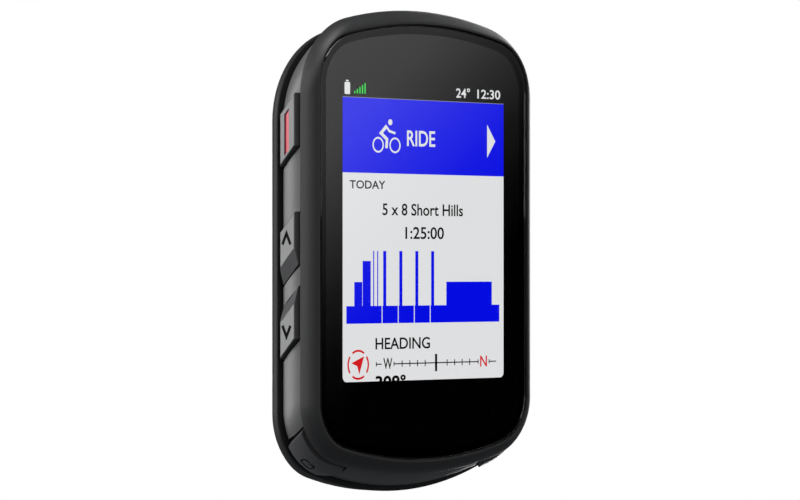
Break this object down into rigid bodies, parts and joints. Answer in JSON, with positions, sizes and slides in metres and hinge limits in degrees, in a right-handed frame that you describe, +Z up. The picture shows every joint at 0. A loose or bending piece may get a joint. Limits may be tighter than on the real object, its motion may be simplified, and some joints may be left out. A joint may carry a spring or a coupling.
{
  "type": "cycling computer",
  "caption": "Handlebar cycling computer: portrait colour display under a rounded lens, side and corner keys, and a quarter-turn foot on the back.",
  "frame": {"origin": "centre of the flat seat of the quarter-turn foot on the back", "axes": "+Z up along the long side, +Y out of the back along the foot's axis, +X to the rider's right, so the screen faces -Y"},
  "size_m": [0.0578, 0.0196, 0.0848],
  "materials": {
    "lens_glass": "polished",
    "bezel_plastic": "fine satin",
    "band_plastic": "fine satin",
    "shell_plastic": "fine texture",
    "foot_plastic": "moulded",
    "key_plastic": "satin",
    "stripe_plastic": "satin",
    "insulator_plastic": "moulded",
    "switch_plastic": "moulded",
    "sensor_plastic": "moulded",
    "diffuser_plastic": "frosted",
    "display_glass": "lit picture",
    "gasket_rubber": "matte",
    "cap_rubber": "matte",
    "foam_rubber": "foam",
    "screw_steel": "satin",
    "tinned_steel": "satin",
    "stamped_metal": "stamped",
    "contact_gold": "plated",
    "flex_film": "film",
    "board_laminate": "solder mask",
    "antenna_ceramic": "fired",
    "membrane_film": "film",
    "cell_pouch": "foil"
  },
  "bodies": {
    "root": {"front_lens": "lens_glass", "lens_adhesive": "gasket_rubber", "front_bezel": "bezel_plastic", "mid_housing": "band_plastic", "rear_housing": "shell_plastic", "case_seal": "gasket_rubber", "case_screws": "screw_steel", "mount_insert": "foot_plastic", "mount_screws": "screw_steel", "contact_block": "insulator_plastic", "contact_pins": "contact_gold", "display_panel": "display_glass", "backlight": "diffuser_plastic", "display_carrier": "stamped_metal", "display_flex": "flex_film", "light_sensor": "sensor_plastic", "main_board": "board_laminate", "board_screws": "screw_steel", "shield_cans": "tinned_steel", "gnss_antenna": "antenna_ceramic", "radio_antenna": "tinned_steel", "buzzer": "sensor_plastic", "vent_membrane": "membrane_film", "battery": "cell_pouch", "battery_lead": "insulator_plastic", "battery_pad": "foam_rubber", "usb_port": "screw_steel", "usb_seal": "gasket_rubber", "key_seals": "gasket_rubber", "key_switches": "switch_plastic", "switch_flex_left": "flex_film", "switch_flex_right": "flex_film"},
    "power_key": {"power_key": "key_plastic", "power_key_stripe": "stripe_plastic", "power_key_clip": "screw_steel"},
    "up_key": {"up_key": "key_plastic", "up_key_clip": "screw_steel"},
    "down_key": {"down_key": "key_plastic", "down_key_clip": "screw_steel"},
    "select_key": {"select_key": "key_plastic", "select_key_clip": "screw_steel"},
    "back_key": {"back_key": "key_plastic", "back_key_clip": "screw_steel"},
    "lap_key": {"lap_key": "key_plastic", "lap_key_clip": "screw_steel"},
    "start_key": {"start_key": "key_plastic", "start_key_clip": "screw_steel"},
    "weather_cap": {"weather_cap": "cap_rubber"}
  },
  "joints": [
    {"name": "power_key_press", "type": "slide", "parent": "root", "child": "power_key", "axis": [1, 0, 0], "range_m": [0, 0.00045], "stiffness_N_per_m": 900},
    {"name": "up_key_press", "type": "slide", "parent": "root", "child": "up_key", "axis": [1, 0, 0], "range_m": [0, 0.00045], "stiffness_N_per_m": 900},
    {"name": "down_key_press", "type": "slide", "parent": "root", "child": "down_key", "axis": [1, 0, 0], "range_m": [0, 0.00045], "stiffness_N_per_m": 900},
    {"name": "select_key_press", "type": "slide", "parent": "root", "child": "select_key", "axis": [-1, 0, 0], "range_m": [0, 0.00045], "stiffness_N_per_m": 900},
    {"name": "back_key_press", "type": "slide", "parent": "root", "child": "back_key", "axis": [-1, 0, 0], "range_m": [0, 0.00045], "stiffness_N_per_m": 900},
    {"name": "lap_key_press", "type": "slide", "parent": "root", "child": "lap_key", "axis": [0.5878, 0, 0.809], "range_m": [0, 0.00045], "stiffness_N_per_m": 900},
    {"name": "start_key_press", "type": "slide", "parent": "root", "child": "start_key", "axis": [-0.5878, 0, 0.809], "range_m": [0, 0.00045], "stiffness_N_per_m": 900},
    {"name": "weather_cap_hinge", "type": "hinge", "parent": "root", "child": "weather_cap", "pos_m": [0, -0.0069, -0.04095], "axis": [1, 0, 0], "range_deg": [0, 100]}
  ]
}
